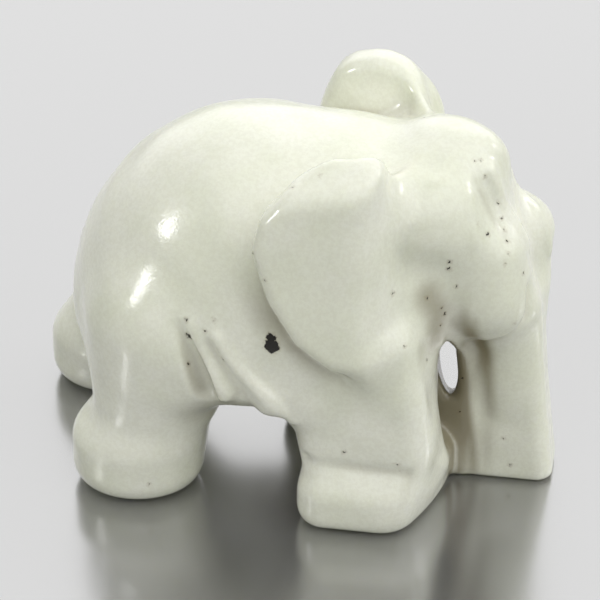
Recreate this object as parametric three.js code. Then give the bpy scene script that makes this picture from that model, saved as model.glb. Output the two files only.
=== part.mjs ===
import * as THREE from "three";

// White jade elephant, carved from one piece of stone.
// Millimetres. +X is the way it faces, +Y its left, +Z up. It stands on z = 0.

// Driving sizes: height of the back, clearance under the belly, reach of the rump and of the chest
// from the middle of the barrel, and half the width of the barrel
const BACK_HEIGHT = 33.5;
const BELLY_HEIGHT = 10.4;
const RUMP_LENGTH = 17.2;
const CHEST_LENGTH = 9.4;
const BODY_HALF_WIDTH = 14.0;

// Stations along the figure that the forms are placed from
const BODY_X = -2.4;
const RUMP_X = BODY_X - RUMP_LENGTH;
const CHEST_X = BODY_X + CHEST_LENGTH;
const HEAD_X = CHEST_X + 5.2;

// Places behind are given forwards of the rump and in from the side of the barrel.
function byRump(x, inset, z) {
  return [RUMP_X + x, BODY_HALF_WIDTH - inset, z];
}

// Places on the flank are given from the chest and in from the side of the barrel.
function onFlank(x, inset, z) {
  return [CHEST_X + x, BODY_HALF_WIDTH - inset, z];
}

// Places on the head are given from the middle of the skull and down from the back.
function onHead(x, y, drop) {
  return [HEAD_X + x, y, BACK_HEIGHT - drop];
}

// Barrel and shoulders
const BODY_AT = [BODY_X, 0, 14.6];
const SHOULDER_AT = [CHEST_X, 0, BACK_HEIGHT - 14.3];
const SHOULDER_RADII = [10.0, BODY_HALF_WIDTH - 1.8, 13.0];

// Legs. The figure walks: its two left legs, on +Y, are set further back than its right ones.
const RIGHT_REAR_LEG = {
  side: -1,
  hip: byRump(10.4, 7.0, BACK_HEIGHT - 17.7),
  hipRadius: 7.2,
  ankle: byRump(8.1, 6.2, 6.0),
  ankleRadius: 4.9,
  foot: byRump(7.1, 6.2, 0),
  footRadii: [5.9, 5.5],
};
const LEFT_REAR_LEG = {
  side: 1,
  hip: byRump(8.0, 7.0, BACK_HEIGHT - 17.7),
  hipRadius: 6.6,
  ankle: byRump(1.6, 4.4, 6.0),
  ankleRadius: 5.4,
  foot: byRump(1.0, 4.4, 0),
  footRadii: [6.4, 5.5],
};
const REAR_FOOT_HEIGHT = 7.0;
const REAR_FOOT_EDGE = 2.6;
const PAD_BELOW = -0.4;
const RIGHT_FRONT_LEG = { side: -1, x: CHEST_X + 1.05, lean: 0.19 };
const LEFT_FRONT_LEG = { side: 1, x: CHEST_X - 3.1, lean: 0.09 };
const FRONT_LEG_Y = BODY_HALF_WIDTH - 4.9;
const FRONT_LEG_MID_HEIGHT = 10.5;
const FRONT_LEG_HALF = [6.05, 4.2, 9.5];
const FRONT_LEG_EDGE = 2.4;
const FRONT_LEG_UPRIGHT_AT = 11.0;
const FRONT_FOOT_FORWARD = 1.1;
const FRONT_FOOT_INWARD = 0.9;
const FRONT_FOOT_HALF = [6.4, 6.2, 3.2];
const FRONT_FOOT_MID_HEIGHT = 2.4;
const FRONT_FOOT_EDGE = 2.6;

// The outer front corner of each front foot is cut off on the slant, less so higher up.
const FRONT_TOE_FORWARD = 10.1;
const FRONT_TOE_SLANT = 0.44;
const FRONT_TOE_RISE = 0.25;

// Skin folds that run from the groin down to the elbow, and the crease before the thigh
const OUTER_FOLD = {
  from: onFlank(-11.6, 2.8, BACK_HEIGHT - 14.5),
  to: onFlank(-3.4, 3.1, BELLY_HEIGHT + 1.5),
  radii: [1.6, 2.4],
};
const INNER_FOLD = {
  from: onFlank(-12.0, 3.8, BACK_HEIGHT - 15.9),
  to: onFlank(-9.4, 4.6, BELLY_HEIGHT + 1.5),
  radii: [1.2, 1.3],
};
const FOLD_RIDGE = {
  from: onFlank(-11.2, 1.1, BACK_HEIGHT - 14.7),
  to: onFlank(-6.2, 0.8, BELLY_HEIGHT + 2.2),
  radii: [0.5, 1.4],
};
const FOLD_LIP = {
  from: onFlank(-13.1, 1.1, BACK_HEIGHT - 14.3),
  to: onFlank(-10.4, 0.5, BELLY_HEIGHT + 2.8),
  radii: [0.4, 0.8],
};
const GROIN_CREASE = {
  from: onFlank(-13.6, -0.3, BACK_HEIGHT - 14.1),
  to: onFlank(-11.7, -0.6, BELLY_HEIGHT + 2.6),
  radii: [0.7, 1.3],
};

// Head: skull, forehead, broad temples, the flat face between them and the two cheeks
const SKULL_AT = onHead(0, 0, 8.9);
const SKULL_RADII = [6.6, 7.1, 8.3];
const FOREHEAD = { from: onHead(2.0, 0, 4.3), to: onHead(4.8, 0, 12.0), radii: [3.9, 3.6] };
const TEMPLE_AT = onHead(0.7, 4.6, 5.0);
const TEMPLE_HALF = [4.8, 4.9, 3.1];
const TEMPLE_EDGE = 2.9;
const TEMPLE_SLOPES = { right: 0.12, left: 0.45 };
const TEMPLE_LEAN = 0.25;
const TEMPLE_SLANT = 0.45;
const TEMPLE_SLANT_FROM = 3.0;
const FACE_AT = onHead(3.7, 0, 9.1);
const FACE_HALF = [4.1, 3.2, 6.9];
const FACE_EDGE = 0.9;
const FACE_LEAN = 0.33;
const RIGHT_CHEEK = { from: onHead(5.8, 3.6, 10.3), to: onHead(5.8, 3.9, 14.5), radii: [3.0, 3.3] };
const LEFT_CHEEK = { from: onHead(7.5, 4.0, 11.6), to: onHead(8.1, 3.2, 17.3), radii: [3.3, 1.8] };

const JOWL = { from: onHead(2.3, 4.6, 8.5), to: onHead(5.0, 4.2, 13.0), radii: [3.6, 3.2] };

// Trunk: a straight column with flat sides that reaches the ground
const TRUNK_X = HEAD_X + 6.9;
const TRUNK_TOP = BACK_HEIGHT - 15.5;
const TRUNK_BELOW = -6.0;
const TRUNK_HALF = [3.9, 3.1, (TRUNK_TOP - TRUNK_BELOW) / 2];
const TRUNK_EDGE = 1.6;
const TRUNK_LEAN = 0.13;
const TRUNK_UPRIGHT_AT = 11.0;
const TRUNK_ROOT = { from: onHead(7.0, 1.9, 16.5), to: onHead(8.0, 1.2, 25.0), radii: [3.0, 2.0] };

// Web of stone between the trunk and the front legs, with a slot pierced through it
const WEB_AT = [HEAD_X + 1.4, -0.6, 6.0];
const WEB_HALF = [3.6, 2.6, 8.5];
const WEB_EDGE = 1.2;
const SLOT_AT = [HEAD_X + 2.2, -0.5, 10.9];
const SLOT_RADII = [0.95, 7.5, 3.9];
const SLOT_LEAN = 0.1;
const SLOT_DROP = 0.45;

// Ears: thick slabs that nod inwards at the top and turn in to the head at the front. The outline
// is given inside the rounding of its corners, as [forwards of the chest, above the back].
const EAR_THICKNESS = 3.8;
const EAR_RIM = 1.25;
const EAR_OUT = BODY_HALF_WIDTH - 0.3;
const EAR_FLARE = 0.1;
const EAR_FLARE_AT = CHEST_X - 2.0;
const EAR_NOD = 0.12;
const EAR_NOD_AT = BACK_HEIGHT - 15.5;
const EAR_TURN = 0.22;
const EAR_TURN_AT = CHEST_X;
const EAR_BEVEL_OUT = BODY_HALF_WIDTH;
const EAR_BEVEL_SLOPE = 0.75;
const RIGHT_EAR = {
  side: -1,
  bevel: BACK_HEIGHT - 1.6,
  rounding: 2.2,
  outline: [
    [0.6, -1.0], [-1.0, -1.0], [-3.1, -2.4], [-5.0, -4.6], [-5.5, -6.3], [-4.2, -9.9],
    [-2.4, -12.9], [-0.1, -14.7], [2.6, -15.1], [1.8, -9.5], [1.4, -4.5],
  ],
};
const LEFT_EAR = {
  side: 1,
  bevel: BACK_HEIGHT + 0.7,
  rounding: 3.8,
  outline: [
    [0.5, -3.9], [-0.1, -3.2], [-0.9, -2.9], [-1.7, -3.1], [-2.1, -3.9], [-2.8, -6.5],
    [-2.6, -9.5], [-1.4, -11.9], [0.4, -13.1], [2.6, -13.3], [2.2, -9.5],
  ],
};
const LEFT_EAR_DOME_AT = [CHEST_X - 0.1, BODY_HALF_WIDTH - 2.3, BACK_HEIGHT - 6.0];
const LEFT_EAR_DOME_RADII = [5.3, 3.2, 6.5];

// Tail: low on the rump
const TAIL = {
  from: [RUMP_X + 2.0, 0, BACK_HEIGHT - 13.5],
  to: [RUMP_X + 1.2, 0.5, BELLY_HEIGHT + 0.1],
  radii: [1.0, 0.9],
};

// Softness of the joins between forms
const SOFT_BODY = 4.0;
const SOFT_LEG = 2.0;
const SOFT_FOOT = 1.0;
const SOFT_TOE = 2.0;
const SOFT_FOLD = 1.6;
const SOFT_CREASE = 0.6;
const SOFT_HEAD = 1.6;
const SOFT_FOREHEAD = 3.0;
const SOFT_TEMPLE = 1.8;
const SOFT_CHEEK = 2.4;
const SOFT_CARVING = 0.9;
const SOLE_EDGE = 0.8;

// Ears melt into the head more softly at their upper and lower front corners.
const SOFT_EAR = 0.8;
const EAR_MELT = 2.8;
const EAR_MELT_FROM = CHEST_X - 0.5;
const EAR_MELT_OVER = 2.5;
const EAR_MELT_ABOVE = BACK_HEIGHT - 7.5;
const EAR_MELT_BELOW = BACK_HEIGHT - 13.5;

// The skin is cut from a cubic lattice of this step. Vertices keep a share of it clear of the
// cell's sides, and those within reach of the ground are set on it.
const FACET = 1.32;
const MARGIN = 2.0;
const CLEAR_SHARE = 0.04;
const GROUND_REACH = 0.1;
const FLAT_HOLD = 0.12;
const SLOPE_REACH = 0.02;
const HALVINGS = 7;
const MOST_PASSES = 40;

function clamp01(t) {
  return Math.min(1, Math.max(0, t));
}

function join(a, b, softness) {
  const h = Math.max(softness - Math.abs(a - b), 0) / softness;
  return Math.min(a, b) - h * h * softness * 0.25;
}

function keepBoth(a, b, softness) {
  return -join(-a, -b, softness);
}

function ellipsoid(x, y, z, at, radii) {
  const u = (x - at[0]) / radii[0];
  const v = (y - at[1]) / radii[1];
  const w = (z - at[2]) / radii[2];
  const far = Math.hypot(u, v, w);
  const slope = Math.hypot(u / radii[0], v / radii[1], w / radii[2]);
  return (far * (far - 1)) / Math.max(slope, 1e-6);
}

// A limb is the hull of two balls. The y of its ends is measured outwards, on the given side.
function limb(x, y, z, form, side = 1) {
  const [ax, ay, az] = form.from;
  const [bx, by, bz] = form.to;
  const [r1, r2] = form.radii;
  const dx = bx - ax;
  const dy = (by - ay) * side;
  const dz = bz - az;
  const px = x - ax;
  const py = y - ay * side;
  const pz = z - az;
  const length2 = dx * dx + dy * dy + dz * dz;
  const taper = r1 - r2;
  const slant2 = length2 - taper * taper;
  const along = px * dx + py * dy + pz * dz;
  const beyond = along - length2;
  const away2 =
    (px * length2 - dx * along) ** 2 + (py * length2 - dy * along) ** 2 + (pz * length2 - dz * along) ** 2;
  const bound = Math.sign(taper) * taper * taper * away2;
  if (Math.sign(beyond) * slant2 * beyond * beyond * length2 > bound)
    return Math.sqrt(away2 + beyond * beyond * length2) / length2 - r2;
  if (Math.sign(along) * slant2 * along * along * length2 < bound)
    return Math.sqrt(away2 + along * along * length2) / length2 - r1;
  return (Math.sqrt((away2 * slant2) / length2) + along * taper) / length2 - r1;
}

function block(x, y, z, at, half, edge) {
  const a = Math.abs(x - at[0]) - half[0] + edge;
  const b = Math.abs(y - at[1]) - half[1] + edge;
  const c = Math.abs(z - at[2]) - half[2] + edge;
  const outside = Math.hypot(Math.max(a, 0), Math.max(b, 0), Math.max(c, 0));
  return outside + Math.min(Math.max(a, b, c), 0) - edge;
}

// Sole pad of a foot: an oval disc with a rounded upper edge that runs a little below the ground
function pad(x, y, z, centre, radii, height, edge) {
  const u = (x - centre[0]) / radii[0];
  const v = (y - centre[1]) / radii[1];
  const far = Math.hypot(u, v);
  const slope = Math.hypot(u / radii[0], v / radii[1]);
  const across = (far * (far - 1)) / Math.max(slope, 1e-6) + edge;
  const up = Math.abs(z - (height + PAD_BELOW) / 2) - (height - PAD_BELOW) / 2 + edge;
  return Math.hypot(Math.max(across, 0), Math.max(up, 0)) + Math.min(Math.max(across, up), 0) - edge;
}

function insideOutline(x, z, outline) {
  let nearest = Infinity;
  let sign = 1;
  outline.forEach(([ax, az], i) => {
    const [bx, bz] = outline[(i + outline.length - 1) % outline.length];
    const ex = bx - ax;
    const ez = bz - az;
    const wx = x - ax;
    const wz = z - az;
    const t = clamp01((wx * ex + wz * ez) / (ex * ex + ez * ez));
    nearest = Math.min(nearest, Math.hypot(wx - ex * t, wz - ez * t));
    const above = z >= az;
    const under = z < bz;
    const left = ex * wz > ez * wx;
    if ((above && under && left) || (!above && !under && !left)) sign = -sign;
  });
  return sign * nearest;
}

function ear(x, y, z, form) {
  const nod = Math.max(z - EAR_NOD_AT, 0) * EAR_NOD;
  const turn = Math.max(x - EAR_TURN_AT, 0) ** 2 * EAR_TURN;
  const middle = EAR_OUT + (EAR_FLARE_AT - x) * EAR_FLARE - nod - turn;
  const across = Math.abs(y * form.side - middle) - EAR_THICKNESS / 2 + EAR_RIM;
  const flat = insideOutline(x - CHEST_X, z - BACK_HEIGHT, form.outline) - form.rounding + EAR_RIM;
  const slab =
    Math.hypot(Math.max(flat, 0), Math.max(across, 0)) + Math.min(Math.max(flat, across), 0) - EAR_RIM;
  const out = y * form.side - EAR_BEVEL_OUT;
  const bevel = (out * EAR_BEVEL_SLOPE + z - form.bevel) / Math.hypot(EAR_BEVEL_SLOPE, 1);
  return keepBoth(slab, bevel, SOFT_CARVING);
}

function earMelt(x, z) {
  const forward = clamp01((x - EAR_MELT_FROM) / EAR_MELT_OVER);
  const highOrLow = clamp01(Math.max(z - EAR_MELT_ABOVE, EAR_MELT_BELOW - z) / EAR_MELT_OVER);
  return SOFT_EAR + EAR_MELT * forward * highOrLow;
}

function bodyForm(x, y, z) {
  const barrel = ellipsoid(x, y, z, BODY_AT, [RUMP_LENGTH, BODY_HALF_WIDTH, BACK_HEIGHT - BODY_AT[2]]);
  const shoulder = ellipsoid(x, y, z, SHOULDER_AT, SHOULDER_RADII);
  return keepBoth(join(barrel, shoulder, SOFT_BODY), BELLY_HEIGHT - z, SOFT_BODY);
}

function withRearLeg(solid, x, y, z, leg) {
  const form = { from: leg.hip, to: leg.ankle, radii: [leg.hipRadius, leg.ankleRadius] };
  const thigh = limb(x, y, z, form, leg.side);
  const centre = [leg.foot[0], leg.foot[1] * leg.side];
  const foot = pad(x, y, z, centre, leg.footRadii, REAR_FOOT_HEIGHT, REAR_FOOT_EDGE);
  return join(join(solid, thigh, SOFT_LEG), foot, SOFT_LEG);
}

function withFrontLeg(solid, x, y, z, leg) {
  const sheared = x + (z - FRONT_LEG_UPRIGHT_AT) * leg.lean;
  const at = [leg.x, FRONT_LEG_Y * leg.side, FRONT_LEG_MID_HEIGHT];
  const column = block(sheared, y, z, at, FRONT_LEG_HALF, FRONT_LEG_EDGE);
  const middle = (FRONT_LEG_Y - FRONT_FOOT_INWARD) * leg.side;
  const centre = [leg.x + FRONT_FOOT_FORWARD, middle, FRONT_FOOT_MID_HEIGHT];
  const foot = block(x, y, z, centre, FRONT_FOOT_HALF, FRONT_FOOT_EDGE);
  const toe = x - leg.x + y * leg.side * FRONT_TOE_SLANT - z * FRONT_TOE_RISE - FRONT_TOE_FORWARD;
  const toeCut = toe / Math.hypot(FRONT_TOE_SLANT, 1);
  return join(solid, keepBoth(join(column, foot, SOFT_FOOT), toeCut, SOFT_TOE), SOFT_LEG);
}

function withFolds(solid, x, y, z, side) {
  const outer = join(solid, limb(x, y, z, OUTER_FOLD, side), SOFT_FOLD);
  const inner = join(outer, limb(x, y, z, INNER_FOLD, side), SOFT_CARVING);
  const ridged = join(inner, limb(x, y, z, FOLD_RIDGE, side), SOFT_CARVING);
  const lipped = join(ridged, limb(x, y, z, FOLD_LIP, side), SOFT_CARVING);
  return keepBoth(lipped, -limb(x, y, z, GROIN_CREASE, side), SOFT_CREASE);
}

function headForm(x, y, z) {
  let head = join(ellipsoid(x, y, z, SKULL_AT, SKULL_RADII), limb(x, y, z, FOREHEAD), SOFT_FOREHEAD);
  for (const side of [-1, 1]) {
    const slanted = x + (y * side - TEMPLE_SLANT_FROM) * TEMPLE_SLANT;
    const upright = y * side + (z - TEMPLE_AT[2]) * TEMPLE_LEAN;
    const slope = side < 0 ? TEMPLE_SLOPES.right : TEMPLE_SLOPES.left;
    const raised = z + (y * side - TEMPLE_SLANT_FROM) * slope;
    head = join(head, block(slanted, upright, raised, TEMPLE_AT, TEMPLE_HALF, TEMPLE_EDGE), SOFT_TEMPLE);
    head = join(head, limb(x, y, z, JOWL, side), SOFT_CHEEK);
  }
  const steep = x + (z - FACE_AT[2]) * FACE_LEAN;
  head = join(head, block(steep, y, z, FACE_AT, FACE_HALF, FACE_EDGE), SOFT_CARVING);
  const leaned = x - (TRUNK_UPRIGHT_AT - z) * TRUNK_LEAN;
  const trunkAt = [TRUNK_X, 0, (TRUNK_TOP + TRUNK_BELOW) / 2];
  head = join(head, block(leaned, y, z, trunkAt, TRUNK_HALF, TRUNK_EDGE), SOFT_CARVING);
  for (const side of [-1, 1]) head = join(head, limb(x, y, z, TRUNK_ROOT, side), SOFT_HEAD);
  head = join(head, limb(x, y, z, RIGHT_CHEEK, -1), SOFT_CHEEK);
  return join(head, limb(x, y, z, LEFT_CHEEK), SOFT_CHEEK);
}

// Depth of a point in the finished figure: negative in the stone, positive in the air
function figure(x, y, z) {
  let solid = bodyForm(x, y, z);
  solid = withRearLeg(solid, x, y, z, RIGHT_REAR_LEG);
  solid = withRearLeg(solid, x, y, z, LEFT_REAR_LEG);
  solid = withFrontLeg(solid, x, y, z, RIGHT_FRONT_LEG);
  solid = withFrontLeg(solid, x, y, z, LEFT_FRONT_LEG);
  solid = withFolds(solid, x, y, z, -1);
  solid = withFolds(solid, x, y, z, 1);
  solid = join(solid, headForm(x, y, z), SOFT_HEAD);
  solid = join(solid, block(x, y, z, WEB_AT, WEB_HALF, WEB_EDGE), SOFT_HEAD);
  const slotX = x + (z - SLOT_AT[2]) * SLOT_LEAN + y * SLOT_LEAN;
  solid = keepBoth(solid, -ellipsoid(slotX, y, z + y * SLOT_DROP, SLOT_AT, SLOT_RADII), SOFT_CARVING);
  solid = join(solid, ear(x, y, z, RIGHT_EAR), earMelt(x, z));
  const dome = ellipsoid(x, y, z, LEFT_EAR_DOME_AT, LEFT_EAR_DOME_RADII);
  solid = join(solid, join(ear(x, y, z, LEFT_EAR), dome, SOFT_HEAD), earMelt(x, z));
  solid = join(solid, limb(x, y, z, TAIL), SOFT_CARVING);
  return keepBoth(solid, -z, SOLE_EDGE);
}

function outwards(x, y, z) {
  const e = SLOPE_REACH;
  const n = new THREE.Vector3(
    figure(x + e, y, z) - figure(x - e, y, z),
    figure(x, y + e, z) - figure(x, y - e, z),
    figure(x, y, z + e) - figure(x, y, z - e),
  );
  return n.divideScalar(2 * e);
}

// Samples the figure on a cubic lattice and returns the samples with their indexing.
function sampled(low, high, step) {
  const count = [0, 1, 2].map((i) => Math.ceil((high[i] - low[i]) / step) + 1);
  const at = (i, j, k) => (k * count[1] + j) * count[0] + i;
  const depth = new Float64Array(count[0] * count[1] * count[2]);
  for (let k = 0; k < count[2]; k++)
    for (let j = 0; j < count[1]; j++)
      for (let i = 0; i < count[0]; i++)
        depth[at(i, j, k)] = figure(low[0] + i * step, low[1] + j * step, low[2] + k * step);
  return { low, step, count, at, depth };
}

const CORNERS = [0, 1, 2, 3, 4, 5, 6, 7].map((c) => [c & 1, (c >> 1) & 1, c >> 2]);
const CELL_EDGES = [];
for (let a = 0; a < 8; a++)
  for (const bit of [1, 2, 4]) if (!(a & bit)) CELL_EDGES.push([a, a | bit]);
const CELL_FACES = [];
for (const [u, v, w] of [[1, 2, 4], [2, 4, 1], [4, 1, 2]])
  for (const base of [0, w]) CELL_FACES.push([base, base | u, base | u | v, base | v]);

// The corners of one cell that a cell can't hold as one clean sheet: a face that is crossed four
// times, or inside corners (or outside ones) that fall into two groups.
function tangled(inside) {
  for (const face of CELL_FACES) {
    const [a, b, c, d] = face.map((corner) => inside[corner]);
    if (a === c && b === d && a !== b) return face;
  }
  for (const wanted of [true, false]) {
    const members = CORNERS.map((_, c) => c).filter((c) => inside[c] === wanted);
    if (!members.length) continue;
    const reached = new Set([members[0]]);
    for (let pass = 0; pass < CORNERS.length; pass++)
      for (const [a, b] of CELL_EDGES) {
        if (inside[a] !== wanted || inside[b] !== wanted) continue;
        if (reached.has(a) || reached.has(b)) {
          reached.add(a);
          reached.add(b);
        }
      }
    if (reached.size < members.length) return members;
  }
  return null;
}

// Moves single samples across the surface until every cell holds one clean sheet.
function untangle(grid) {
  const { count, at, depth } = grid;
  for (let pass = 0; pass < MOST_PASSES; pass++) {
    let changes = 0;
    for (let k = 0; k < count[2] - 1; k++)
      for (let j = 0; j < count[1] - 1; j++)
        for (let i = 0; i < count[0] - 1; i++) {
          const ids = CORNERS.map(([a, b, c]) => at(i + a, j + b, k + c));
          const inside = ids.map((id) => depth[id] < 0);
          const bad = tangled(inside);
          if (!bad) continue;
          const nearer = (a, b) => (Math.abs(depth[a]) < Math.abs(depth[b]) ? a : b);
          const weakest = bad.map((c) => ids[c]).reduce(nearer);
          depth[weakest] = depth[weakest] < 0 ? 1e-3 : -1e-3;
          changes++;
        }
    if (!changes) return;
  }
}

// Where the surface crosses a lattice edge, found by halving
function crossing(a, b) {
  const low = a.clone();
  const high = b.clone();
  const lowInside = figure(a.x, a.y, a.z) < 0;
  const middle = new THREE.Vector3();
  for (let turn = 0; turn < HALVINGS; turn++) {
    middle.addVectors(low, high).multiplyScalar(0.5);
    if (figure(middle.x, middle.y, middle.z) < 0 === lowInside) low.copy(middle);
    else high.copy(middle);
  }
  return middle.clone();
}

// The point that lies closest to all the tangent planes met in one cell, held near their middle.
// It puts vertices on the creases and edges of the carving.
function bestPoint(hits, corner) {
  const middle = hits.reduce((sum, h) => sum.add(h.at), new THREE.Vector3()).divideScalar(hits.length);
  const m = [FLAT_HOLD, 0, 0, FLAT_HOLD, 0, FLAT_HOLD];
  const side = new THREE.Vector3();
  for (const { at, normal } of hits) {
    m[0] += normal.x * normal.x;
    m[1] += normal.x * normal.y;
    m[2] += normal.x * normal.z;
    m[3] += normal.y * normal.y;
    m[4] += normal.y * normal.z;
    m[5] += normal.z * normal.z;
    side.addScaledVector(normal, normal.dot(at.clone().sub(middle)));
  }
  const matrix = new THREE.Matrix3().set(m[0], m[1], m[2], m[1], m[3], m[4], m[2], m[4], m[5]);
  const point = side.applyMatrix3(matrix.invert()).add(middle);
  const inset = FACET * CLEAR_SHARE;
  const near = corner.clone().addScalar(inset);
  const far = corner.clone().addScalar(FACET - inset);
  point.clamp(near, far);
  if (Math.abs(point.z) < GROUND_REACH) point.z = 0;
  return point;
}

// One vertex in each cell the surface crosses, one four-sided facet round each crossed lattice edge
function carvedSkin() {
  const rear = LEFT_REAR_LEG.foot[0] - LEFT_REAR_LEG.footRadii[0];
  const front = TRUNK_X + TRUNK_HALF[0] + TRUNK_UPRIGHT_AT * TRUNK_LEAN;
  const side = BODY_HALF_WIDTH + EAR_THICKNESS;
  const top = LEFT_EAR_DOME_AT[2] + LEFT_EAR_DOME_RADII[2];
  const low = [rear - MARGIN, -side - MARGIN, -FACET * 1.5];
  const high = [front + MARGIN, side + MARGIN, top + MARGIN];
  const grid = sampled(low, high, FACET);
  untangle(grid);
  const { count, at, depth } = grid;
  const points = [];
  const vertexOf = new Map();
  const origin = new THREE.Vector3(...low);
  for (let k = 0; k < count[2] - 1; k++)
    for (let j = 0; j < count[1] - 1; j++)
      for (let i = 0; i < count[0] - 1; i++) {
        const ids = CORNERS.map(([a, b, c]) => at(i + a, j + b, k + c));
        const spots = CORNERS.map(([a, b, c]) =>
          new THREE.Vector3(i + a, j + b, k + c).multiplyScalar(FACET).add(origin),
        );
        const hits = [];
        for (const [a, b] of CELL_EDGES) {
          if (depth[ids[a]] < 0 === depth[ids[b]] < 0) continue;
          const at = crossing(spots[a], spots[b]);
          hits.push({ at, normal: outwards(at.x, at.y, at.z).normalize() });
        }
        if (!hits.length) continue;
        vertexOf.set(at(i, j, k), points.length);
        points.push(bestPoint(hits, spots[0]));
      }

  const faces = [];
  const addFacet = (ring, flip) => {
    const [a, b, c, d] = flip ? [ring[0], ring[3], ring[2], ring[1]] : ring;
    const shortFirst = points[a].distanceTo(points[c]) <= points[b].distanceTo(points[d]);
    if (shortFirst) faces.push([a, b, c], [a, c, d]);
    else faces.push([a, b, d], [b, c, d]);
  };
  const stride = [1, count[0], count[0] * count[1]];
  for (let k = 1; k < count[2] - 1; k++)
    for (let j = 1; j < count[1] - 1; j++)
      for (let i = 1; i < count[0] - 1; i++) {
        const here = at(i, j, k);
        for (let axis = 0; axis < 3; axis++) {
          const next = here + stride[axis];
          if (depth[here] < 0 === depth[next] < 0) continue;
          const u = stride[(axis + 1) % 3];
          const v = stride[(axis + 2) % 3];
          const ring = [here - u - v, here - v, here, here - u].map((cell) => vertexOf.get(cell));
          addFacet(ring, depth[here] >= 0);
        }
      }
  return { points, faces };
}

const { points, faces } = carvedSkin();
const geometry = new THREE.BufferGeometry();
const places = points.flatMap((p) => [p.x, p.y, p.z]);
geometry.setAttribute("position", new THREE.Float32BufferAttribute(places, 3));
geometry.setIndex(faces.flat());

// The frame's origin is the middle of the base of the figure's own box.
geometry.computeBoundingBox();
const box = geometry.boundingBox;
geometry.translate(-(box.min.x + box.max.x) / 2, -(box.min.y + box.max.y) / 2, -box.min.z);
geometry.computeVertexNormals();

const jade = new THREE.MeshStandardMaterial({ color: 0xe3e6dc, roughness: 0.25 });
const elephant = new THREE.Mesh(geometry, jade);
elephant.name = "elephant";

const group = new THREE.Group();
group.name = "jade_elephant_figurine";
group.add(elephant);

export default group;
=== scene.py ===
import math

import bpy
import numpy as np
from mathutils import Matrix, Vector


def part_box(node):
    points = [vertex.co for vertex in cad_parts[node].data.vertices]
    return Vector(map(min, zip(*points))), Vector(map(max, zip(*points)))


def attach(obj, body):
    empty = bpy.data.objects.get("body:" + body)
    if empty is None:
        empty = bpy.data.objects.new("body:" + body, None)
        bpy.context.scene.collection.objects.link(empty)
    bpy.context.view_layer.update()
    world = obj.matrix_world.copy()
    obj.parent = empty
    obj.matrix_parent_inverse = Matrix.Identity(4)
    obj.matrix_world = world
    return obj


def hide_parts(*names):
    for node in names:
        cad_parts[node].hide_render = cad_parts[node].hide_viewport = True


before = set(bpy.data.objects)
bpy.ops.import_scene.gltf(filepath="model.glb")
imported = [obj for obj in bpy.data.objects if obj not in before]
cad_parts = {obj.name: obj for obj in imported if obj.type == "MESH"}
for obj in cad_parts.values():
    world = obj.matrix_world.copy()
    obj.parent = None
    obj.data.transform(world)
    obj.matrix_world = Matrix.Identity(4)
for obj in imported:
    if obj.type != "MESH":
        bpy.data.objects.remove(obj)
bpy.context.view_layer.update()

MM = 0.001

# The elephant's form in millimetres. +X is the way it faces, +Y its left, +Z up.
# These are the sizes of the CAD solid, so the fine skin lies on it.
BACK_HEIGHT = 33.5
BELLY_HEIGHT = 10.4
RUMP_LENGTH = 17.2
BODY_HALF_WIDTH = 14.0
BODY_AT = (-2.4, 0.0, 14.6)
SHOULDER_AT = (7.0, 0.0, 19.2)
SHOULDER_RADII = (10.0, 12.2, 13.0)

RIGHT_REAR_LEG = {
    "side": -1,
    "hip": (-9.2, 7.0, 15.8),
    "hip_radius": 7.2,
    "ankle": (-11.5, 7.8, 6.0),
    "ankle_radius": 4.9,
    "foot": (-12.5, 7.8),
    "foot_radii": (5.9, 5.5),
}
LEFT_REAR_LEG = {
    "side": 1,
    "hip": (-11.6, 7.0, 15.8),
    "hip_radius": 6.6,
    "ankle": (-18.0, 9.6, 6.0),
    "ankle_radius": 5.4,
    "foot": (-18.6, 9.6),
    "foot_radii": (6.4, 5.5),
}
REAR_FOOT_HEIGHT = 7.0
REAR_FOOT_EDGE = 2.6
RIGHT_FRONT_LEG = {"side": -1, "x": 8.05, "lean": 0.19}
LEFT_FRONT_LEG = {"side": 1, "x": 3.9, "lean": 0.09}
FRONT_LEG_Y = 9.1
FRONT_LEG_MID_HEIGHT = 10.5
FRONT_LEG_HALF = (6.05, 4.2, 9.5)
FRONT_LEG_EDGE = 2.4
FRONT_LEG_UPRIGHT_AT = 11.0
FRONT_FOOT_FORWARD = 1.1
FRONT_FOOT_INWARD = 0.9
FRONT_FOOT_HALF = (6.4, 6.2, 3.2)
FRONT_FOOT_MID_HEIGHT = 2.4
FRONT_FOOT_EDGE = 2.6
FRONT_TOE_FORWARD = 10.1
FRONT_TOE_SLANT = 0.44
FRONT_TOE_RISE = 0.25
SOFT_TOE = 2.0

OUTER_FOLD = ((-4.6, 11.2, 19.0), (3.6, 10.9, 11.9), (1.6, 2.4))
INNER_FOLD = ((-5.0, 10.2, 17.6), (-2.4, 9.4, 11.9), (1.2, 1.3))
FOLD_RIDGE = ((-4.2, 12.9, 18.8), (0.8, 13.2, 12.6), (0.5, 1.4))
FOLD_LIP = ((-6.1, 12.9, 19.2), (-3.4, 13.5, 13.2), (0.4, 0.8))
GROIN_CREASE = ((-6.6, 14.3, 19.4), (-4.7, 14.6, 13.0), (0.7, 1.3))
SOFT_CREASE = 0.6

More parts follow.
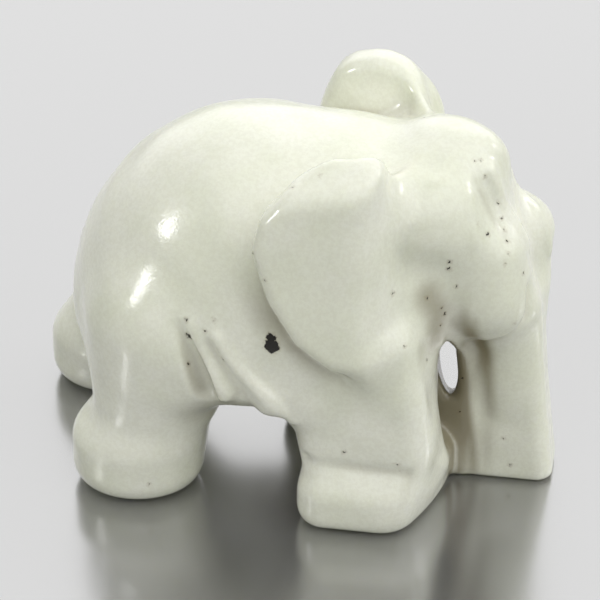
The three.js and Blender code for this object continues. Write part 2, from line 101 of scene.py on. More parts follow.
SKULL_AT = (12.2, 0.0, 24.6)
SKULL_RADII = (6.6, 7.1, 8.3)
FOREHEAD = ((14.2, 0.0, 29.2), (17.0, 0.0, 21.5), (3.9, 3.6))
SOFT_FOREHEAD = 3.0
TEMPLE_AT = (12.9, 4.6, 28.5)
TEMPLE_HALF = (4.8, 4.9, 3.1)
TEMPLE_EDGE = 2.9
TEMPLE_SLOPES = {-1: 0.12, 1: 0.45}
TEMPLE_LEAN = 0.25
TEMPLE_SLANT = 0.45
TEMPLE_SLANT_FROM = 3.0
SOFT_TEMPLE = 1.8
FACE_AT = (15.9, 0.0, 24.4)
FACE_HALF = (4.1, 3.2, 6.9)
FACE_EDGE = 0.9
FACE_LEAN = 0.33
RIGHT_CHEEK = ((18.0, 3.6, 23.2), (18.0, 3.9, 19.0), (3.0, 3.3))
LEFT_CHEEK = ((19.7, 4.0, 21.9), (20.3, 3.2, 16.2), (3.3, 1.8))
JOWL = ((14.5, 4.6, 25.0), (17.2, 4.2, 20.5), (3.6, 3.2))
TRUNK_ROOT = ((19.2, 1.9, 17.0), (20.2, 1.2, 8.5), (3.0, 2.0))
SOFT_CHEEK = 2.4

TRUNK_AT = (19.1, 0.0, 6.0)
TRUNK_HALF = (3.9, 3.1, 12.0)
TRUNK_EDGE = 1.6
TRUNK_LEAN = 0.13
TRUNK_UPRIGHT_AT = 11.0
WEB_AT = (13.6, -0.6, 6.0)
WEB_HALF = (3.6, 2.6, 8.5)
WEB_EDGE = 1.2
SLOT_AT = (14.4, -0.5, 10.9)
SLOT_RADII = (0.95, 7.5, 3.9)
SLOT_LEAN = 0.1
SLOT_DROP = 0.45

EAR_THICKNESS = 3.8
EAR_RIM = 1.25
EAR_OUT = 13.7
EAR_FLARE = 0.1
EAR_FLARE_AT = 5.0
EAR_NOD = 0.12
EAR_NOD_AT = 18.0
EAR_TURN = 0.22
EAR_TURN_AT = 7.0
EAR_BEVEL_OUT = 14.0
EAR_BEVEL_SLOPE = 0.75
RIGHT_EAR = {
    "side": -1,
    "bevel": 31.9,
    "rounding": 2.2,
    "outline": [
        (7.6, 32.5), (6.0, 32.5), (3.9, 31.1), (2.0, 28.9), (1.5, 27.2), (2.8, 23.6),
        (4.6, 20.6), (6.9, 18.8), (9.6, 18.4), (8.8, 24.0), (8.4, 29.0),
    ],
}
LEFT_EAR = {
    "side": 1,
    "bevel": 34.2,
    "rounding": 3.8,
    "outline": [
        (7.5, 29.6), (6.9, 30.3), (6.1, 30.6), (5.3, 30.4), (4.9, 29.6), (4.2, 27.0),
        (4.4, 24.0), (5.6, 21.6), (7.4, 20.4), (9.6, 20.2), (9.2, 24.0),
    ],
}
LEFT_EAR_DOME_AT = (6.9, 11.7, 27.5)
LEFT_EAR_DOME_RADII = (5.3, 3.2, 6.5)
TAIL = ((-17.6, 0.0, 20.0), (-18.4, 0.5, 10.5), (1.0, 0.9))

SOFT_BODY = 4.0
SOFT_LEG = 2.0
SOFT_FOOT = 1.0
SOFT_FOLD = 1.6
SOFT_HEAD = 1.6
SOFT_CARVING = 0.9
SOFT_EAR = 0.8
EAR_MELT = 2.8
EAR_MELT_FROM = 6.5
EAR_MELT_OVER = 2.5
EAR_MELT_ABOVE = 26.0
EAR_MELT_BELOW = 20.0
SOLE_EDGE = 0.8
PAD_BELOW = -0.4

# The camera stands as the photograph's did. Its target is in the form's own millimetres.
CAMERA_AZIMUTH = 10.0
CAMERA_ELEVATION = 29.0
CAMERA_DISTANCE = 212.96
CAMERA_TARGET = (-0.169, 6.045, 11.661)
CAMERA_LENS = 138.0
CAMERA_SENSOR = 36.0
PICTURE_SIZE = 600

# Pits and dark grains, given as pixel across, pixel down, radius in millimetres.
# The first two are the black inclusion.
PITS = [
    (272, 346, 0.62), (271, 338, 0.4), (189, 336, 0.26), (186, 320, 0.09), (189, 364, 0.11), (205, 331, 0.09),
    (223, 360, 0.09), (214, 320, 0.07), (277, 317, 0.13), (253, 254, 0.07), (265, 281, 0.07),
    (487.5, 234.5, 0.12), (505, 229, 0.1), (508.5, 241, 0.12), (508.5, 253.5, 0.09), (501.5, 218, 0.09),
    (497.5, 203, 0.09), (485, 177, 0.09), (481, 160, 0.06), (475, 160, 0.06), (477, 224.5, 0.07),
    (449.5, 262, 0.12), (449, 269, 0.14), (456.5, 286.5, 0.1), (427, 298, 0.09), (393, 293, 0.09),
    (441, 308, 0.07), (444, 314, 0.09), (441, 325, 0.07), (427, 360, 0.07), (404, 346, 0.07),
    (523.5, 273, 0.09), (505, 264, 0.07), (320, 175, 0.06), (292, 187, 0.06), (462, 378, 0.09),
    (459, 412, 0.1), (503, 438, 0.07), (510, 465, 0.09), (397, 464, 0.07), (401, 472, 0.09),
    (514.5, 323.5, 0.07), (415, 117.5, 0.06), (424, 117.5, 0.06), (344, 452, 0.09), (149, 484, 0.07),
]

# Finer relief that only the skin carries: depth into the stone, half width, and places along it
RELIEF = [
    # Near brow line, the groove beside it and the edge of the temple
    (-0.28, 0.55, [(17.6, -3.0, 30.8), (18.3, -3.0, 29.0), (19.1, -3.0, 26.7), (19.8, -3.0, 23.9)]),
    (0.18, 0.8, [(17.2, -4.6, 30.0), (17.9, -4.7, 28.6), (18.7, -4.8, 26.4), (19.1, -5.0, 25.0)]),
    (-0.22, 0.8, [(17.0, -6.4, 30.2), (17.0, -6.8, 28.0), (16.8, -7.0, 26.0)]),
    # Far brow line
    (-0.28, 0.55, [(18.6, 3.0, 28.0), (19.6, 3.0, 26.2), (20.5, 3.0, 24.1), (21.4, 3.0, 20.9)]),
    # Outer and inner fold, the groin and the hollow between the folds
    (-0.42, 0.55, [
        (-3.7, -13.7, 18.4), (-3.1, -13.8, 17.4), (-1.8, -14.0, 15.8), (0.0, -13.8, 13.8), (2.6, -13.4, 11.0),
    ]),
    (-0.3, 0.45, [(-6.2, -13.6, 19.1), (-4.9, -13.9, 16.7), (-3.9, -14.0, 14.9), (-3.3, -13.8, 13.0)]),
    (0.2, 0.6, [(-7.0, -13.4, 19.0), (-6.3, -13.7, 17.2), (-5.5, -14.0, 15.2), (-5.0, -13.9, 13.2)]),
    (0.2, 0.5, [(-4.4, -13.8, 17.8), (-3.1, -14.0, 15.5), (-1.9, -13.9, 13.4)]),
    # Under the cheek, above the front foot and along the shoulder
    (0.3, 0.5, [(17.4, -4.5, 15.2), (18.8, -4.5, 16.8), (21.1, -4.5, 18.3), (21.6, -4.3, 20.5)]),
    (0.3, 0.6, [(3.2, -13.4, 6.5), (8.0, -13.5, 6.4), (12.6, -13.3, 6.3)]),
    (0.14, 1.1, [(-0.7, -11.2, 28.6), (1.8, -9.6, 31.4), (5.5, -7.0, 32.9), (9.4, -6.0, 32.6)]),
]
WAVINESS = 0.03

# Places painted browner, partly the stone's own brown and partly painted shade: how much, half width, and
# points along each
BROWN_AND_SHADE_PLACES = [
    (0.42, 1.9, [(13.4, -9.2, 21.6), (14.2, -8.6, 19.8), (14.2, -8.9, 17.4)]),
    (0.24, 0.7, [(17.2, -4.7, 29.6), (18.1, -4.8, 27.6), (18.8, -4.9, 25.6)]),
]
BROWN_SHADE_BELOW = 26.0
BROWN_SHADE_OVER = 8.0
BROWN_SHADE_HIGH_UP = 0.15
NARROW_REACH = 0.8
WIDE_REACH = 4.5

# Colours of the stone, and the browns that paint shade into its creases and hollows
CLOUD_DULL = (0.78, 0.80, 0.66, 1)
CLOUD_PALE = (0.85, 0.86, 0.75, 1)
GRAIN_BROWN = (0.50, 0.47, 0.34, 1)
CREASE_GRIME_AND_SHADE = (0.40, 0.35, 0.23, 1)
HOLLOW_BROWN_AND_SHADE = (0.28, 0.25, 0.16, 1)
STAIN_BROWN = (0.30, 0.22, 0.11, 1)
PIT_BLACK = (0.02, 0.018, 0.014, 1)

# Pits in the skin, in millimetres: how ragged their edge is, how far the stain and the edge reach
RAGGEDNESS = 0.75
STAIN_REACH = 0.3
PIT_EDGE = 0.04
FAR_OFF = 9.0

# The floor's half width and the lights' distance are in metres, the height they aim at in millimetres.
FLOOR_HALF = 4.0
FLOOR_GREY = (0.45, 0.45, 0.45, 1)
LIGHTS_DISTANCE = 0.5
LIGHTS_AIM = 16.0

# The fine skin. Lengths are in millimetres.
STEP = 0.335
COARSE = 4
NEAR_SHARE = 1.6
AT_ONCE = 40000
SLOPE_REACH = 0.03
SKIN_PASSES = 3
LINE_PASSES = 6
RAY_PASSES = 120
RAY_STRIDE = 0.7
RAY_START = 150.0
BOX_LOW = np.array((-27.0, -18.0, -1.0))
BOX_HIGH = np.array((27.0, 18.0, 37.0))


def join(a, b, softness):
    h = np.maximum(softness - np.abs(a - b), 0) / softness
    return np.minimum(a, b) - h * h * softness * 0.25


def keep_both(a, b, softness):
    return -join(-a, -b, softness)


def length(*parts):
    return np.sqrt(sum(part * part for part in parts))


def ellipsoid(p, at, radii):
    parts = [(p[i] - at[i]) / radii[i] for i in range(3)]
    far = length(*parts)
    slope = length(*[parts[i] / radii[i] for i in range(3)])
    return far * (far - 1) / np.maximum(slope, 1e-6)


def limb(p, form, side=1):
    """Hull of two balls. The y of its ends is measured outwards, on the given side."""
    (ax, ay, az), (bx, by, bz), (r1, r2) = form
    d = (bx - ax, (by - ay) * side, bz - az)
    q = (p[0] - ax, p[1] - ay * side, p[2] - az)
    length2 = d[0] ** 2 + d[1] ** 2 + d[2] ** 2
    taper = r1 - r2
    slant2 = length2 - taper * taper
    along = q[0] * d[0] + q[1] * d[1] + q[2] * d[2]
    beyond = along - length2
    away2 = sum((q[i] * length2 - d[i] * along) ** 2 for i in range(3))
    bound = np.sign(taper) * taper * taper * away2
    end = np.sqrt(away2 + beyond * beyond * length2) / length2 - r2
    start = np.sqrt(away2 + along * along * length2) / length2 - r1
    flank = (np.sqrt(away2 * slant2 / length2) + along * taper) / length2 - r1
    at_end = np.sign(beyond) * slant2 * beyond * beyond * length2 > bound
    at_start = np.sign(along) * slant2 * along * along * length2 < bound
    return np.where(at_end, end, np.where(at_start, start, flank))


def block(p, at, half, edge):
    a, b, c = [np.abs(p[i] - at[i]) - half[i] + edge for i in range(3)]
    outside = length(np.maximum(a, 0), np.maximum(b, 0), np.maximum(c, 0))
    return outside + np.minimum(np.maximum(a, np.maximum(b, c)), 0) - edge


def pad(p, centre, radii, height, edge):
    u = (p[0] - centre[0]) / radii[0]
    v = (p[1] - centre[1]) / radii[1]
    far = length(u, v)
    slope = length(u / radii[0], v / radii[1])
    across = far * (far - 1) / np.maximum(slope, 1e-6) + edge
    up = np.abs(p[2] - (height + PAD_BELOW) / 2) - (height - PAD_BELOW) / 2 + edge
    return length(np.maximum(across, 0), np.maximum(up, 0)) + np.minimum(np.maximum(across, up), 0) - edge


def inside_outline(x, z, outline):
    nearest = np.full(x.shape, 1e9)
    sign = np.ones(x.shape)
    for i, (ax, az) in enumerate(outline):
        bx, bz = outline[i - 1]
        ex, ez = bx - ax, bz - az
        wx, wz = x - ax, z - az
        t = np.clip((wx * ex + wz * ez) / (ex * ex + ez * ez), 0, 1)
        nearest = np.minimum(nearest, (wx - ex * t) ** 2 + (wz - ez * t) ** 2)
        above = z >= az
        under = z < bz
        left = ex * wz > ez * wx
        turn = (above & under & left) | (~above & ~under & ~left)
        sign = np.where(turn, -sign, sign)
    return sign * np.sqrt(nearest)


def ear(p, form):
    x, y, z = p
    middle = EAR_OUT + (EAR_FLARE_AT - x) * EAR_FLARE - np.maximum(z - EAR_NOD_AT, 0) * EAR_NOD
    middle = middle - np.maximum(x - EAR_TURN_AT, 0) ** 2 * EAR_TURN
    across = np.abs(y * form["side"] - middle) - EAR_THICKNESS / 2 + EAR_RIM
    flat = inside_outline(x, z, form["outline"]) - form["rounding"] + EAR_RIM
    outside = length(np.maximum(flat, 0), np.maximum(across, 0))
    slab = outside + np.minimum(np.maximum(flat, across), 0) - EAR_RIM
    out = y * form["side"] - EAR_BEVEL_OUT
    bevel = (out * EAR_BEVEL_SLOPE + z - form["bevel"]) / math.hypot(EAR_BEVEL_SLOPE, 1)
    return keep_both(slab, bevel, SOFT_CARVING)


def body_form(p):
    barrel = ellipsoid(p, BODY_AT, (RUMP_LENGTH, BODY_HALF_WIDTH, BACK_HEIGHT - BODY_AT[2]))
    shoulder = ellipsoid(p, SHOULDER_AT, SHOULDER_RADII)
    return keep_both(join(barrel, shoulder, SOFT_BODY), BELLY_HEIGHT - p[2], SOFT_BODY)


def with_rear_leg(solid, p, leg):
    thigh = limb(p, (leg["hip"], leg["ankle"], (leg["hip_radius"], leg["ankle_radius"])), leg["side"])
    centre = (leg["foot"][0], leg["foot"][1] * leg["side"])
    foot = pad(p, centre, leg["foot_radii"], REAR_FOOT_HEIGHT, REAR_FOOT_EDGE)
    return join(join(solid, thigh, SOFT_LEG), foot, SOFT_LEG)


def with_front_leg(solid, p, leg):
    sheared = (p[0] + (p[2] - FRONT_LEG_UPRIGHT_AT) * leg["lean"], p[1], p[2])
    at = (leg["x"], FRONT_LEG_Y * leg["side"], FRONT_LEG_MID_HEIGHT)
    column = block(sheared, at, FRONT_LEG_HALF, FRONT_LEG_EDGE)
    middle = (FRONT_LEG_Y - FRONT_FOOT_INWARD) * leg["side"]
    centre = (leg["x"] + FRONT_FOOT_FORWARD, middle, FRONT_FOOT_MID_HEIGHT)
    foot = block(p, centre, FRONT_FOOT_HALF, FRONT_FOOT_EDGE)
    toe = p[0] - leg["x"] - FRONT_TOE_FORWARD
    toe = toe + p[1] * leg["side"] * FRONT_TOE_SLANT - p[2] * FRONT_TOE_RISE
    whole = keep_both(join(column, foot, SOFT_FOOT), toe / math.hypot(FRONT_TOE_SLANT, 1), SOFT_TOE)
    return join(solid, whole, SOFT_LEG)


def with_folds(solid, p, side):
    outer = join(solid, limb(p, OUTER_FOLD, side), SOFT_FOLD)
    inner = join(outer, limb(p, INNER_FOLD, side), SOFT_CARVING)
    ridged = join(inner, limb(p, FOLD_RIDGE, side), SOFT_CARVING)
    ridged = join(ridged, limb(p, FOLD_LIP, side), SOFT_CARVING)
    return keep_both(ridged, -limb(p, GROIN_CREASE, side), SOFT_CREASE)


def head_form(p):
    x, y, z = p
    head = join(ellipsoid(p, SKULL_AT, SKULL_RADII), limb(p, FOREHEAD), SOFT_FOREHEAD)
    for side in (-1, 1):
        slanted = x + (y * side - TEMPLE_SLANT_FROM) * TEMPLE_SLANT
        upright = y * side + (z - TEMPLE_AT[2]) * TEMPLE_LEAN
        raised = z + (y * side - TEMPLE_SLANT_FROM) * TEMPLE_SLOPES[side]
        head = join(head, block((slanted, upright, raised), TEMPLE_AT, TEMPLE_HALF, TEMPLE_EDGE), SOFT_TEMPLE)
        head = join(head, limb(p, JOWL, side), SOFT_CHEEK)
    face = (x + (z - FACE_AT[2]) * FACE_LEAN, y, z)
    head = join(head, block(face, FACE_AT, FACE_HALF, FACE_EDGE), SOFT_CARVING)
    leaned = (x - (TRUNK_UPRIGHT_AT - z) * TRUNK_LEAN, y, z)
    head = join(head, block(leaned, TRUNK_AT, TRUNK_HALF, TRUNK_EDGE), SOFT_CARVING)
    for side in (-1, 1):
        head = join(head, limb(p, TRUNK_ROOT, side), SOFT_HEAD)
    head = join(head, limb(p, RIGHT_CHEEK, -1), SOFT_CHEEK)
    return join(head, limb(p, LEFT_CHEEK), SOFT_CHEEK)


def figure(p):
    """Depth of points in the figure: negative in the stone, positive in the air."""
    x, y, z = p
    solid = body_form(p)
    solid = with_rear_leg(solid, p, RIGHT_REAR_LEG)
    solid = with_rear_leg(solid, p, LEFT_REAR_LEG)
    solid = with_front_leg(solid, p, RIGHT_FRONT_LEG)
    solid = with_front_leg(solid, p, LEFT_FRONT_LEG)
    solid = with_folds(solid, p, -1)
    solid = with_folds(solid, p, 1)
    solid = join(solid, head_form(p), SOFT_HEAD)
    solid = join(solid, block(p, WEB_AT, WEB_HALF, WEB_EDGE), SOFT_HEAD)
    slot = (x + (z - SLOT_AT[2]) * SLOT_LEAN + y * SLOT_LEAN, y, z + y * SLOT_DROP)
    solid = keep_both(solid, -ellipsoid(slot, SLOT_AT, SLOT_RADII), SOFT_CARVING)
    high_or_low = np.maximum(z - EAR_MELT_ABOVE, EAR_MELT_BELOW - z)
    melt = SOFT_EAR + EAR_MELT * (
        np.clip((x - EAR_MELT_FROM) / EAR_MELT_OVER, 0, 1) * np.clip(high_or_low / EAR_MELT_OVER, 0, 1)
    )
    solid = join(solid, ear(p, RIGHT_EAR), melt)
    far_ear = join(ear(p, LEFT_EAR), ellipsoid(p, LEFT_EAR_DOME_AT, LEFT_EAR_DOME_RADII), SOFT_HEAD)
    solid = join(solid, far_ear, melt)
    solid = join(solid, limb(p, TAIL), SOFT_CARVING)
    return keep_both(solid, -z, SOLE_EDGE)


def depth_at(points, form):
    """The form at many points, a part at a time so that the numbers stay in fast memory."""
    parts = np.array_split(points, len(points) // AT_ONCE + 1)
    return np.concatenate([form((part[:, 0], part[:, 1], part[:, 2])) for part in parts])


def outwards(points, form):
    slope = np.empty_like(points)
    for axis in range(3):
        offset = np.zeros(3)
        offset[axis] = SLOPE_REACH
        slope[:, axis] = depth_at(points + offset, form) - depth_at(points - offset, form)
    return slope / np.maximum(np.linalg.norm(slope, axis=1, keepdims=True), 1e-9)


def sampled(form, step):
    """The form on a cubic lattice. Far from the surface the value of a coarser lattice stands in."""
    count = np.ceil((BOX_HIGH - BOX_LOW) / (step * COARSE)).astype(int) + 1
    rough = np.stack(np.meshgrid(*[np.arange(n) for n in count], indexing="ij"), axis=-1)
    centre = BOX_LOW + (rough.reshape(-1, 3) * COARSE + (COARSE - 1) / 2) * step
    rough_depth = depth_at(centre, form).reshape(count)
    depth = rough_depth.repeat(COARSE, 0).repeat(COARSE, 1).repeat(COARSE, 2)
    near = np.argwhere(np.abs(depth) < step * COARSE * NEAR_SHARE)
    depth[tuple(near.T)] = depth_at(BOX_LOW + near * step, form)
    return depth


def fine_skin(form, step):
    """Surface net: one vertex in each cell the surface crosses, one quad round each crossed edge."""
    depth = sampled(form, step)
    inside = depth < 0
    size = depth.shape
    stride = (size[1] * size[2], size[2], 1)
    total = np.zeros((3, depth.size))
    hits = np.zeros(depth.size)
    rings = []
    for axis in range(3):
        low = [slice(1, -1)] * 3
        high = [slice(1, -1)] * 3
        high[axis] = slice(2, None)
        here = np.argwhere(inside[tuple(low)] != inside[tuple(high)]) + 1
        unit = np.eye(3, dtype=int)[axis]
        start = depth[tuple(here.T)]
        end = depth[tuple((here + unit).T)]
        spot = here + unit * (start / (start - end))[:, None]
        number = here @ np.array(stride)
        u = stride[(axis + 1) % 3]
        v = stride[(axis + 2) % 3]
        ring = np.stack([number - u - v, number - v, number, number - u], axis=1)
        for cell in ring.T:
            hits += np.bincount(cell, minlength=depth.size)
            for i in range(3):
                total[i] += np.bincount(cell, weights=spot[:, i], minlength=depth.size)
        outside_first = start >= 0
        ring[outside_first] = ring[outside_first][:, ::-1]
        rings.append(ring)
    used = np.flatnonzero(hits)
    vertex = np.full(depth.size, -1)
    vertex[used] = np.arange(len(used))
    points = BOX_LOW + (total[:, used] / hits[used]).T * step
    for _ in range(SKIN_PASSES):
        normal = outwards(points, form)
        off = np.clip(depth_at(points, form), -step / 2, step / 2)
        points = points - normal * off[:, None]
    return points, vertex[np.concatenate(rings)]


def on_skin(points, form):
    for _ in range(LINE_PASSES):
        points = points - outwards(points, form) * depth_at(points, form)[:, None]
    return points


def heading(azimuth, elevation):
    """Direction towards a place in the sky. Azimuth 0 is on the elephant's right, 90 ahead of it."""
    a, e = math.radians(azimuth), math.radians(elevation)
    return Vector((math.sin(a) * math.cos(e), -math.cos(a) * math.cos(e), math.sin(e)))


def under_pixels(pixels, form):
    """Where the camera's rays through the given pixels first meet the form."""
    back = heading(CAMERA_AZIMUTH, CAMERA_ELEVATION)
    right = Vector((0, 0, 1)).cross(back).normalized()
    up = back.cross(right)
    lens_pixels = CAMERA_LENS / CAMERA_SENSOR * PICTURE_SIZE
    start = np.array(Vector(CAMERA_TARGET) + back * CAMERA_DISTANCE)
    across = (np.array(pixels)[:, 0] - PICTURE_SIZE / 2) / lens_pixels
    down = (np.array(pixels)[:, 1] - PICTURE_SIZE / 2) / lens_pixels
    ray = across[:, None] * np.array(right) - down[:, None] * np.array(up) - np.array(back)
    ray = ray / np.linalg.norm(ray, axis=1, keepdims=True)
    far = np.full(len(ray), RAY_START)
    for _ in range(RAY_PASSES):
        far = far + depth_at(start + ray * far[:, None], form) * RAY_STRIDE
    return start + ray * far[:, None]


def closeness(points, normals, form, reach):
    """0 on an open surface, up to 1 in a crease: how much stone stands in the way outwards."""
    seen = depth_at(points + normals * reach, form)
    return np.clip(1 - seen / reach, 0, 1)


def beside(points, line, half_width):
    """1 on a line drawn over the skin, falling to 0 away from it."""
    p = (points[:, 0], points[:, 1], points[:, 2])
    line = on_skin(np.array(line), figure)
    away = np.min([limb(p, (a, b, (0.0, 0.0))) for a, b in zip(line[:-1], line[1:])], axis=0)
    return np.exp(-((away / half_width) ** 2))


def painted_brown_and_shade(points, normals):
    """How brown the skin is painted: most in hollows low down, and in the places listed.

    Some of it is painted shade, standing in for shade that the soft light leaves out.
    """
    low_down = np.clip((BROWN_SHADE_BELOW - points[:, 2]) / BROWN_SHADE_OVER, BROWN_SHADE_HIGH_UP, 1)
    brown_and_shade = closeness(points, normals, figure, WIDE_REACH) * low_down
    for most, half_width, line in BROWN_AND_SHADE_PLACES:
        brown_and_shade = np.maximum(brown_and_shade, most * beside(points, line, half_width))
    return brown_and_shade


def relief_depth(points):
    """How far the finer relief sinks the skin at the given points."""
    depth = np.zeros(len(points))
    for deepest, half_width, line in RELIEF:
        depth += deepest * beside(points, line, half_width)
    x, y, z = points.T
    waves = np.sin(x * 0.9 + z * 0.5) * np.sin(y * 0.8 - z * 0.6 + 1.3) + np.sin(x * 0.5 - y * 0.7 + z * 1.1)
    return depth + waves * WAVINESS * np.clip(z - 1, 0, 1)


points, quads = fine_skin(figure, STEP)
normals = outwards(points, figure)
points = points - normals * relief_depth(points)[:, None]
# How closed in the skin is: it sets the grime and painted shade in narrow creases
narrow = closeness(points, normals, figure, NARROW_REACH)
# The stone's brown tint together with painted shade in hollows low down and in the listed places
brown_and_shade = painted_brown_and_shade(points, normals)

# The skin's own box is set on the node's box, so that it lies on the solid.
node_low, node_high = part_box("elephant")
skin_low, skin_high = points.min(axis=0), points.max(axis=0)
shift = np.array([
    (node_low[0] + node_high[0]) / 2 / MM - (skin_low[0] + skin_high[0]) / 2,
    (node_low[1] + node_high[1]) / 2 / MM - (skin_low[1] + skin_high[1]) / 2,
    node_low[2] / MM - skin_low[2],
])

mesh = bpy.data.meshes.new("carved_jade")
mesh.from_pydata(((points + shift) * MM).tolist(), [], quads.tolist())
mesh.validate()
mesh.shade_smooth()
for name, values in (("narrow_crease", narrow), ("hollow_brown_and_shade", brown_and_shade)):
    attribute = mesh.attributes.new(name, "FLOAT", "POINT")
    attribute.data.foreach_set("value", values.astype(np.float32))
carving = bpy.data.objects.new("carved_jade", mesh)
bpy.context.scene.collection.objects.link(carving)


class Nodes:
    """Short hand for building a material's nodes."""

    def __init__(self, tree):
        self.tree = tree
        tree.nodes.clear()

    def add(self, kind, inputs=None, **settings):
        node = self.tree.nodes.new(kind)
        for key, value in settings.items():
            setattr(node, key, value)
        for key, value in (inputs or {}).items():
            self.put(value, node.inputs[key])
        return node

    def put(self, value, socket):
        if isinstance(value, bpy.types.NodeSocket):
            self.tree.links.new(value, socket)
        else:
            socket.default_value = value

    def math(self, operation, a, b=0.0, clamp=False):
        node = self.add("ShaderNodeMath", {0: a, 1: b}, operation=operation, use_clamp=clamp)
        return node.outputs[0]

    def span(self, value, low, high, to_low=0.0, to_high=1.0):
        inputs = {"Value": value, "From Min": low, "From Max": high, "To Min": to_low, "To Max": to_high}
        node = self.add("ShaderNodeMapRange", inputs, interpolation_type="SMOOTHSTEP")
        return node.outputs["Result"]

    def mix(self, factor, a, b):
        node = self.add("ShaderNodeMix", data_type="RGBA")
        self.put(factor, node.inputs[0])
        self.put(a, node.inputs[6])
        self.put(b, node.inputs[7])
        return node.outputs[2]

    def noise(self, place, scale, detail=3.0, roughness=0.55):
        inputs = {"Vector": place, "Scale": scale, "Detail": detail, "Roughness": roughness}
        return self.add("ShaderNodeTexNoise", inputs)


def jade(pits):
    material = bpy.data.materials.new("white_jade")
    material.use_nodes = True
    n = Nodes(material.node_tree)
    place = n.add("ShaderNodeTexCoord").outputs["Object"]
    place = n.add("ShaderNodeVectorMath", {0: place, "Scale": 1 / MM}, operation="SCALE").outputs[0]
    narrow_crease = n.add("ShaderNodeAttribute", attribute_name="narrow_crease").outputs["Fac"]
    hollow_brown_and_shade = n.add("ShaderNodeAttribute", attribute_name="hollow_brown_and_shade").outputs["Fac"]

    cloud = n.span(n.noise(place, 0.11, 4.0).outputs["Fac"], 0.35, 0.65)
    colour = n.mix(cloud, CLOUD_DULL, CLOUD_PALE)
    grain = n.span(n.noise(place, 2.6, 3.0, 0.7).outputs["Fac"], 0.38, 0.62)
    colour = n.mix(grain, n.mix(0.12, colour, GRAIN_BROWN), colour)
    # Narrow creases painted browner: grime in the cracks together with painted shade
    crease_grime_and_shade = n.span(narrow_crease, 0.15, 0.9, 0.0, 0.5)
    colour = n.mix(crease_grime_and_shade, colour, CREASE_GRIME_AND_SHADE)
    # Painted shade and the stone's own brown in low hollows and the listed places
    shade = n.span(hollow_brown_and_shade, 0.08, 0.6, 0.0, 0.95)
    colour = n.mix(shade, colour, HOLLOW_BROWN_AND_SHADE)

    ragged = n.noise(place, 3.2, 3.0, 0.6).outputs["Color"]
    ragged = n.add("ShaderNodeVectorMath", {0: ragged, 1: (0.5, 0.5, 0.5)}, operation="SUBTRACT").outputs[0]
    ragged = n.add("ShaderNodeVectorMath", {0: ragged, "Scale": RAGGEDNESS}, operation="SCALE").outputs[0]
    ragged = n.add("ShaderNodeVectorMath", {0: place, 1: ragged}, operation="ADD").outputs[0]
    nearest = FAR_OFF
    for x, y, z, radius in pits:
        away = n.add("ShaderNodeVectorMath", {0: ragged, 1: (x, y, z)}, operation="DISTANCE").outputs["Value"]
        nearest = n.math("MINIMUM", nearest, n.math("SUBTRACT", away, radius))
    stain = n.span(nearest, 0.0, STAIN_REACH, 0.25, 0.0)
    colour = n.mix(stain, colour, STAIN_BROWN)
    pit = n.span(nearest, -PIT_EDGE, PIT_EDGE, 1.0, 0.0)
    colour = n.mix(pit, colour, PIT_BLACK)

    rough = n.span(n.noise(place, 0.9, 4.0).outputs["Fac"], 0.3, 0.7, 0.14, 0.24)
    fine = n.noise(place, 2.2, 3.0).outputs["Fac"]
    height = n.math("SUBTRACT", n.math("MULTIPLY", fine, 0.06), n.math("MULTIPLY", pit, 0.6))
    bump = n.add("ShaderNodeBump", {"Strength": 1.0, "Distance": 0.0003, "Height": height}).outputs["Normal"]
    shader = n.add("ShaderNodeBsdfPrincipled", {
        "Base Color": colour,
        "Roughness": rough,
        "Normal": bump,
        "IOR": 1.6,
        "Subsurface Weight": 0.4,
        "Subsurface Radius": (1.0, 1.0, 0.8),
        "Subsurface Scale": 0.0008,
    })
    out = n.add("ShaderNodeOutputMaterial")
    n.put(shader.outputs[0], out.inputs["Surface"])
    return material


pit_places = under_pixels([pit[:2] for pit in PITS], figure) + shift
carving.data.materials.append(jade([(*place, pit[2]) for place, pit in zip(pit_places.tolist(), PITS)]))
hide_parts("elephant")
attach(carving, "root")


def floor():
    mesh = bpy.data.meshes.new("floor")
    corners = [(x * FLOOR_HALF, y * FLOOR_HALF, 0) for x, y in ((-1, -1), (1, -1), (1, 1), (-1, 1))]
    mesh.from_pydata(corners, [], [(0, 1, 2, 3)])
    plane = bpy.data.objects.new("floor", mesh)
    bpy.context.scene.collection.objects.link(plane)
    material = bpy.data.materials.new("pale_floor")
    material.use_nodes = True
    n = Nodes(material.node_tree)
    shader = n.add("ShaderNodeBsdfPrincipled", {
        "Base Color": FLOOR_GREY,
        "Metallic": 0.85,
        "Roughness": 0.2,
    })
    out = n.add("ShaderNodeOutputMaterial")
    n.put(shader.outputs[0], out.inputs["Surface"])
    mesh.materials.append(material)


# Bright parts of the sky: azimuth, elevation, cosine of its reach, strength
SKY_GLOWS = [(0, 52, 0.6, 0.9), (72, 34, 0.72, 1.5)]


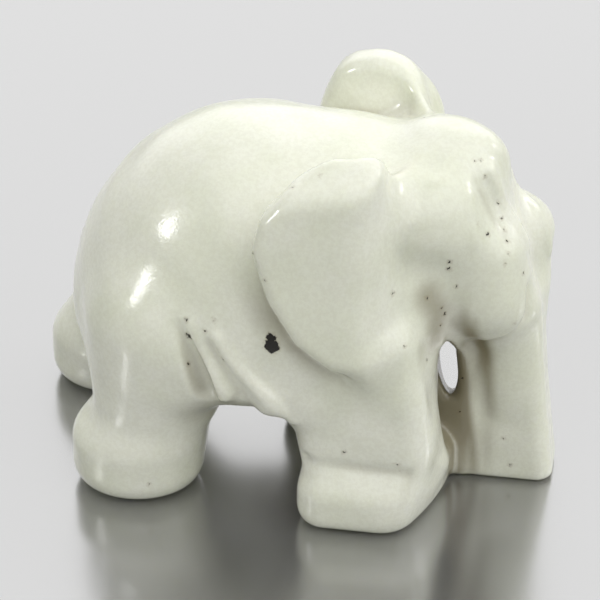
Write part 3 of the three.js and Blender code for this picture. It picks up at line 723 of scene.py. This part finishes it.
def sky():
    world = bpy.data.worlds.new("studio")
    bpy.context.scene.world = world
    world.use_nodes = True
    n = Nodes(world.node_tree)
    direction = n.add("ShaderNodeTexCoord").outputs["Generated"]
    parts = n.add("ShaderNodeSeparateXYZ", {0: direction}).outputs
    low = n.span(parts["Z"], 0.0, 0.35, 0.2, 1.0)
    round_about = n.span(parts["Y"], 0.1, 0.75, 0.1, 1.55)
    level = n.math("MULTIPLY", low, round_about)
    level = n.math("ADD", level, n.span(parts["Z"], 0.5, 0.95, 0.0, 0.5))
    for azimuth, elevation, narrowest, strength in SKY_GLOWS:
        inputs = {0: direction, 1: heading(azimuth, elevation)}
        towards = n.add("ShaderNodeVectorMath", inputs, operation="DOT_PRODUCT")
        level = n.math("ADD", level, n.span(towards.outputs["Value"], narrowest, 1.0, 0.0, strength))
    shader = n.add("ShaderNodeBackground", {"Color": (1, 1, 1, 1), "Strength": level})
    out = n.add("ShaderNodeOutputWorld")
    n.put(shader.outputs[0], out.inputs["Surface"])


def soft_box(name, azimuth, elevation, size, power):
    """An area light at a direction from the middle of the figure, facing it."""
    back = heading(azimuth, elevation)
    data = bpy.data.lights.new(name, "AREA")
    data.shape = "RECTANGLE"
    data.size, data.size_y = size
    data.energy = power
    lamp = bpy.data.objects.new(name, data)
    lamp.location = Vector((0, 0, LIGHTS_AIM * MM)) + back * LIGHTS_DISTANCE
    lamp.rotation_mode = "QUATERNION"
    lamp.rotation_quaternion = (-back).to_track_quat("-Z", "Y")
    bpy.context.scene.collection.objects.link(lamp)


floor()
sky()
soft_box("window", -58, 28, (0.06, 0.08), 0.4)
soft_box("rear_window", 113, 28, (0.05, 0.08), 0.15)

back = heading(CAMERA_AZIMUTH, CAMERA_ELEVATION)
camera_data = bpy.data.cameras.new("camera")
camera_data.sensor_width = CAMERA_SENSOR
camera_data.lens = CAMERA_LENS
camera_data.clip_start = 0.01
camera_data.clip_end = 20.0
camera = bpy.data.objects.new("camera", camera_data)
camera.location = (Vector(CAMERA_TARGET) + Vector(shift) + back * CAMERA_DISTANCE) * MM
camera.rotation_mode = "QUATERNION"
camera.rotation_quaternion = (-back).to_track_quat("-Z", "Y")
bpy.context.scene.collection.objects.link(camera)
bpy.context.scene.camera = camera
bpy.context.scene.view_settings.view_transform = "Standard"
